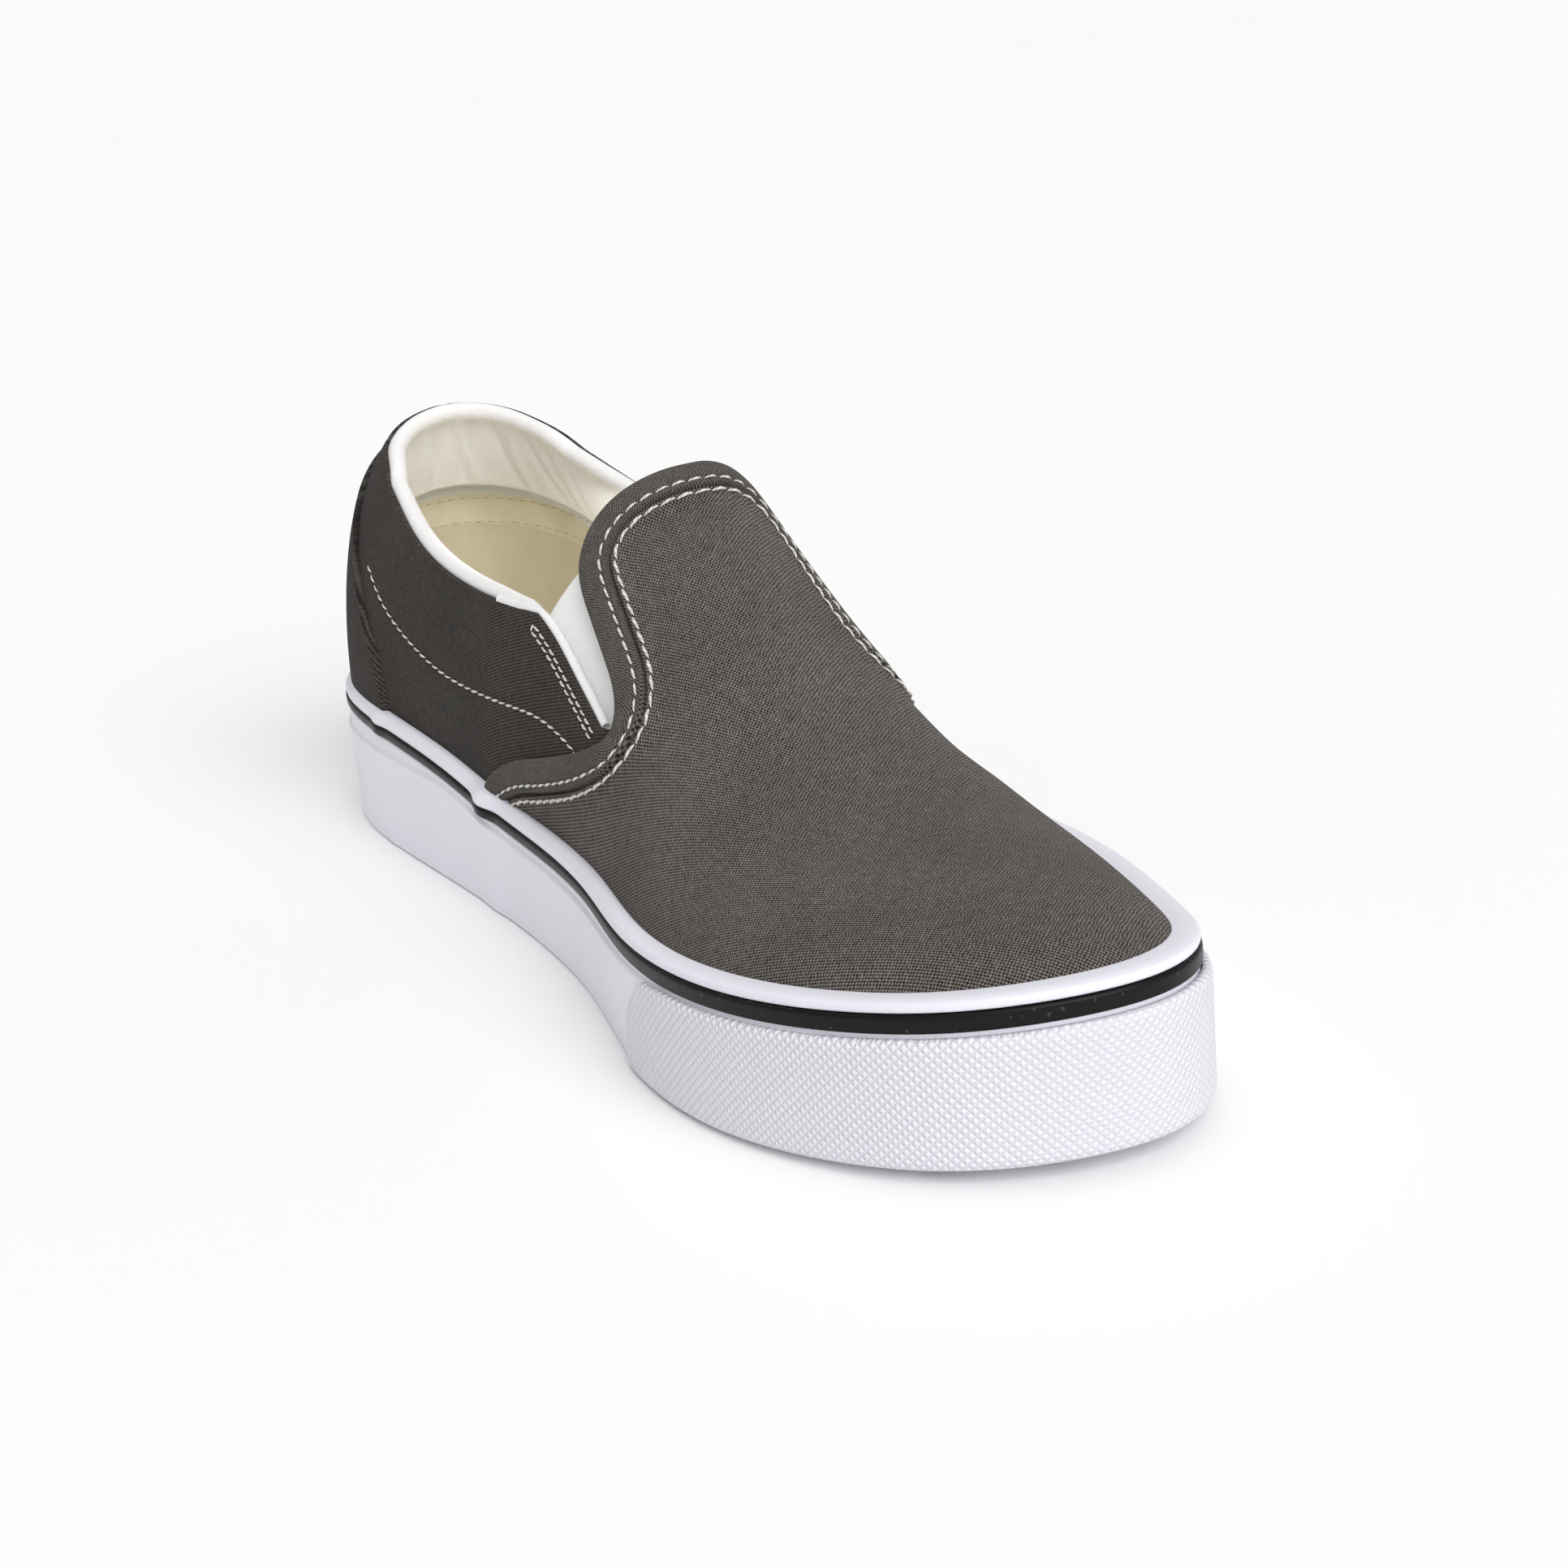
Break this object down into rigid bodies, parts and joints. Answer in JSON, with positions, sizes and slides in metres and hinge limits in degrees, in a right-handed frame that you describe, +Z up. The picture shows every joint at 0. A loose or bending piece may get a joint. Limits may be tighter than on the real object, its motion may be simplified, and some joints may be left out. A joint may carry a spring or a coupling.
{
  "type": "slip-on sneaker",
  "caption": "Low canvas slip-on sneaker for the right foot, with elastic side gores, padded collar and a thick white rubber sole with a black stripe and toe guard.",
  "frame": {"origin": "on the floor, under the middle of the shoe's bounding box", "axes": "+X towards the toe, +Y towards the foot's inner (medial) side, +Z up"},
  "size_m": [0.29, 0.0942, 0.0936],
  "materials": {
    "charcoal_canvas": "woven cotton canvas, matte",
    "white_lining": "smooth padded lining, satin",
    "white_elastic": "ribbed elastic, matte",
    "white_rubber": "moulded rubber, semi-matte",
    "black_rubber": "smooth rubber, satin",
    "sole_rubber": "moulded tread rubber, matte",
    "filler_foam": "sponge rubber, matte",
    "natural_sock": "natural cotton drill, matte"
  },
  "bodies": {
    "root": {"outsole": "sole_rubber", "midsole": "filler_foam", "foxing": "white_rubber", "toe_bumper": "white_rubber", "black_stripe": "black_rubber", "top_strip": "white_rubber", "upper": "charcoal_canvas", "vamp_band_lateral": "charcoal_canvas", "vamp_band_medial": "charcoal_canvas", "heel_stay": "charcoal_canvas", "collar": "white_lining", "gore_lateral": "white_elastic", "gore_medial": "white_elastic", "insole": "natural_sock"}
  },
  "joints": []
}
